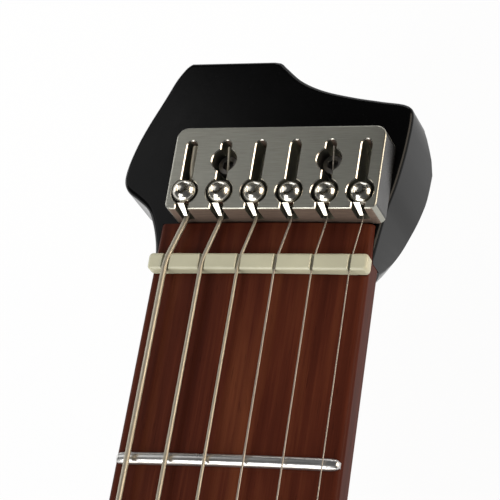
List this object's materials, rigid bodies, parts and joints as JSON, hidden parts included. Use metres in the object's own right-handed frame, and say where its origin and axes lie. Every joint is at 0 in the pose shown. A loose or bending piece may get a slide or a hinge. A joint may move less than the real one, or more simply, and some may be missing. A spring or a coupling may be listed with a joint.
{
  "type": "headless electric guitar",
  "caption": "Headless electric guitar with string clamps at the neck's end, a tray bridge with thumb-nut tuners, pickups and a double cutaway body.",
  "frame": {"origin": "on the body's flat back, on the centre line, 120 mm from the saddles towards the head", "axes": "+Z out of the front, +Y towards the head end, +X towards the thin strings; the guitar lies on its back"},
  "size_m": [0.3105, 0.7814, 0.0621],
  "materials": {
    "black_lacquer": "satin black lacquer over wood",
    "neck_wood": "oiled reddish-brown wood",
    "board_wood": "bare dark reddish-brown wood with polished steel frets",
    "brushed_steel": "brushed stainless steel",
    "polished_steel": "mirror polished",
    "plain_steel": "dark plain steel",
    "string_wire": "nickel plated wire, three wound and three plain",
    "nut_bone": "cream, lightly polished",
    "black_metal": "black anodised",
    "pickup_plastic": "moulded black plastic",
    "nickel": "nickel plated"
  },
  "bodies": {
    "root": {"guitar_body": "black_lacquer", "neck": "neck_wood", "fretboard": "board_wood", "truss_rod": "plain_steel", "head_block": "black_lacquer", "string_lock_block": "brushed_steel", "nut": "nut_bone", "bridge_frame": "black_metal", "bridge_pickup": "pickup_plastic", "neck_pickup": "pickup_plastic", "control_cover": "pickup_plastic", "output_jack": "black_metal", "selector_switch": "nickel", "volume_pot": "nickel", "tone_pot": "nickel", "strap_button_1": "nickel", "strap_button_2": "nickel", "lock_block_screw_1": "plain_steel", "lock_block_screw_2": "plain_steel", "neck_screw_1": "plain_steel", "neck_screw_2": "plain_steel", "neck_screw_3": "plain_steel", "neck_screw_4": "plain_steel", "string_1": "string_wire", "string_2": "string_wire", "string_3": "string_wire", "string_4": "string_wire", "string_5": "string_wire", "string_6": "string_wire"},
    "clamp_screw_1": {"clamp_screw_1": "polished_steel"},
    "tuner_knob_1": {"tuner_knob_1": "polished_steel"},
    "tuner_carriage_1": {"tuner_carriage_1": "brushed_steel"},
    "saddle_1": {"saddle_1": "black_metal"},
    "clamp_screw_2": {"clamp_screw_2": "polished_steel"},
    "tuner_knob_2": {"tuner_knob_2": "polished_steel"},
    "tuner_carriage_2": {"tuner_carriage_2": "brushed_steel"},
    "saddle_2": {"saddle_2": "black_metal"},
    "clamp_screw_3": {"clamp_screw_3": "polished_steel"},
    "tuner_knob_3": {"tuner_knob_3": "polished_steel"},
    "tuner_carriage_3": {"tuner_carriage_3": "brushed_steel"},
    "saddle_3": {"saddle_3": "black_metal"},
    "clamp_screw_4": {"clamp_screw_4": "polished_steel"},
    "tuner_knob_4": {"tuner_knob_4": "polished_steel"},
    "tuner_carriage_4": {"tuner_carriage_4": "brushed_steel"},
    "saddle_4": {"saddle_4": "black_metal"},
    "clamp_screw_5": {"clamp_screw_5": "polished_steel"},
    "tuner_knob_5": {"tuner_knob_5": "polished_steel"},
    "tuner_carriage_5": {"tuner_carriage_5": "brushed_steel"},
    "saddle_5": {"saddle_5": "black_metal"},
    "clamp_screw_6": {"clamp_screw_6": "polished_steel"},
    "tuner_knob_6": {"tuner_knob_6": "polished_steel"},
    "tuner_carriage_6": {"tuner_carriage_6": "brushed_steel"},
    "saddle_6": {"saddle_6": "black_metal"},
    "volume_knob": {"volume_knob": "black_metal", "volume_shaft": "nickel"},
    "tone_knob": {"tone_knob": "black_metal", "tone_shaft": "nickel"},
    "selector_lever": {"selector_lever": "nickel"}
  },
  "joints": [
    {"name": "clamp_screw_1_turn", "type": "hinge", "parent": "root", "child": "clamp_screw_1", "pos_m": [0.01925, 0.5422, 0.0555], "axis": [0, 0, 1], "range_deg": [0, 720]},
    {"name": "tuner_knob_1_turn", "type": "hinge", "parent": "root", "child": "tuner_knob_1", "pos_m": [0.02625, -0.1833, 0.0503], "axis": [0, 1, 0], "range_deg": [-2572, 1543]},
    {"name": "tuner_carriage_1_slide", "type": "slide", "parent": "root", "child": "tuner_carriage_1", "axis": [0, -1, 0], "range_m": [-0.005, 0.003]},
    {"name": "saddle_1_slide", "type": "slide", "parent": "root", "child": "saddle_1", "axis": [0, 1, 0], "range_m": [-0.0025, 0.0025]},
    {"name": "clamp_screw_2_turn", "type": "hinge", "parent": "root", "child": "clamp_screw_2", "pos_m": [0.01243, 0.5422, 0.0555], "axis": [0, 0, 1], "range_deg": [0, 720]},
    {"name": "tuner_knob_2_turn", "type": "hinge", "parent": "root", "child": "tuner_knob_2", "pos_m": [0.01575, -0.1833, 0.0503], "axis": [0, 1, 0], "range_deg": [-2572, 1543]},
    {"name": "tuner_carriage_2_slide", "type": "slide", "parent": "root", "child": "tuner_carriage_2", "axis": [0, -1, 0], "range_m": [-0.005, 0.003]},
    {"name": "saddle_2_slide", "type": "slide", "parent": "root", "child": "saddle_2", "axis": [0, 1, 0], "range_m": [-0.0025, 0.0025]},
    {"name": "clamp_screw_3_turn", "type": "hinge", "parent": "root", "child": "clamp_screw_3", "pos_m": [0.00561, 0.5422, 0.0555], "axis": [0, 0, 1], "range_deg": [0, 720]},
    {"name": "tuner_knob_3_turn", "type": "hinge", "parent": "root", "child": "tuner_knob_3", "pos_m": [0.00525, -0.1833, 0.0503], "axis": [0, 1, 0], "range_deg": [-2572, 1543]},
    {"name": "tuner_carriage_3_slide", "type": "slide", "parent": "root", "child": "tuner_carriage_3", "axis": [0, -1, 0], "range_m": [-0.005, 0.003]},
    {"name": "saddle_3_slide", "type": "slide", "parent": "root", "child": "saddle_3", "axis": [0, 1, 0], "range_m": [-0.0025, 0.0025]},
    {"name": "clamp_screw_4_turn", "type": "hinge", "parent": "root", "child": "clamp_screw_4", "pos_m": [-0.00121, 0.5422, 0.0555], "axis": [0, 0, 1], "range_deg": [0, 720]},
    {"name": "tuner_knob_4_turn", "type": "hinge", "parent": "root", "child": "tuner_knob_4", "pos_m": [-0.00525, -0.1833, 0.0503], "axis": [0, 1, 0], "range_deg": [-2572, 1543]},
    {"name": "tuner_carriage_4_slide", "type": "slide", "parent": "root", "child": "tuner_carriage_4", "axis": [0, -1, 0], "range_m": [-0.005, 0.003]},
    {"name": "saddle_4_slide", "type": "slide", "parent": "root", "child": "saddle_4", "axis": [0, 1, 0], "range_m": [-0.0025, 0.0025]},
    {"name": "clamp_screw_5_turn", "type": "hinge", "parent": "root", "child": "clamp_screw_5", "pos_m": [-0.00803, 0.5422, 0.0555], "axis": [0, 0, 1], "range_deg": [0, 720]},
    {"name": "tuner_knob_5_turn", "type": "hinge", "parent": "root", "child": "tuner_knob_5", "pos_m": [-0.01575, -0.1833, 0.0503], "axis": [0, 1, 0], "range_deg": [-2572, 1543]},
    {"name": "tuner_carriage_5_slide", "type": "slide", "parent": "root", "child": "tuner_carriage_5", "axis": [0, -1, 0], "range_m": [-0.005, 0.003]},
    {"name": "saddle_5_slide", "type": "slide", "parent": "root", "child": "saddle_5", "axis": [0, 1, 0], "range_m": [-0.0025, 0.0025]},
    {"name": "clamp_screw_6_turn", "type": "hinge", "parent": "root", "child": "clamp_screw_6", "pos_m": [-0.01485, 0.5422, 0.0555], "axis": [0, 0, 1], "range_deg": [0, 720]},
    {"name": "tuner_knob_6_turn", "type": "hinge", "parent": "root", "child": "tuner_knob_6", "pos_m": [-0.02625, -0.1833, 0.0503], "axis": [0, 1, 0], "range_deg": [-2572, 1543]},
    {"name": "tuner_carriage_6_slide", "type": "slide", "parent": "root", "child": "tuner_carriage_6", "axis": [0, -1, 0], "range_m": [-0.005, 0.003]},
    {"name": "saddle_6_slide", "type": "slide", "parent": "root", "child": "saddle_6", "axis": [0, 1, 0], "range_m": [-0.0025, 0.0025]},
    {"name": "volume_knob_turn", "type": "hinge", "parent": "root", "child": "volume_knob", "pos_m": [0.08, -0.082, 0.05], "axis": [0, 0, 1], "range_deg": [0, 280]},
    {"name": "tone_knob_turn", "type": "hinge", "parent": "root", "child": "tone_knob", "pos_m": [0.092, -0.12, 0.05], "axis": [0, 0, 1], "range_deg": [0, 280]},
    {"name": "selector_lever_tilt", "type": "hinge", "parent": "root", "child": "selector_lever", "pos_m": [0.098, -0.057, 0.0404], "axis": [1, 0, 0], "range_deg": [-14, 14]}
  ],
  "couplings": [
    {"joint": "tuner_knob_1_turn", "follows": "tuner_carriage_1_slide", "rad_per_m": 8976},
    {"joint": "tuner_knob_2_turn", "follows": "tuner_carriage_2_slide", "rad_per_m": 8976},
    {"joint": "tuner_knob_3_turn", "follows": "tuner_carriage_3_slide", "rad_per_m": 8976},
    {"joint": "tuner_knob_4_turn", "follows": "tuner_carriage_4_slide", "rad_per_m": 8976},
    {"joint": "tuner_knob_5_turn", "follows": "tuner_carriage_5_slide", "rad_per_m": 8976},
    {"joint": "tuner_knob_6_turn", "follows": "tuner_carriage_6_slide", "rad_per_m": 8976}
  ]
}
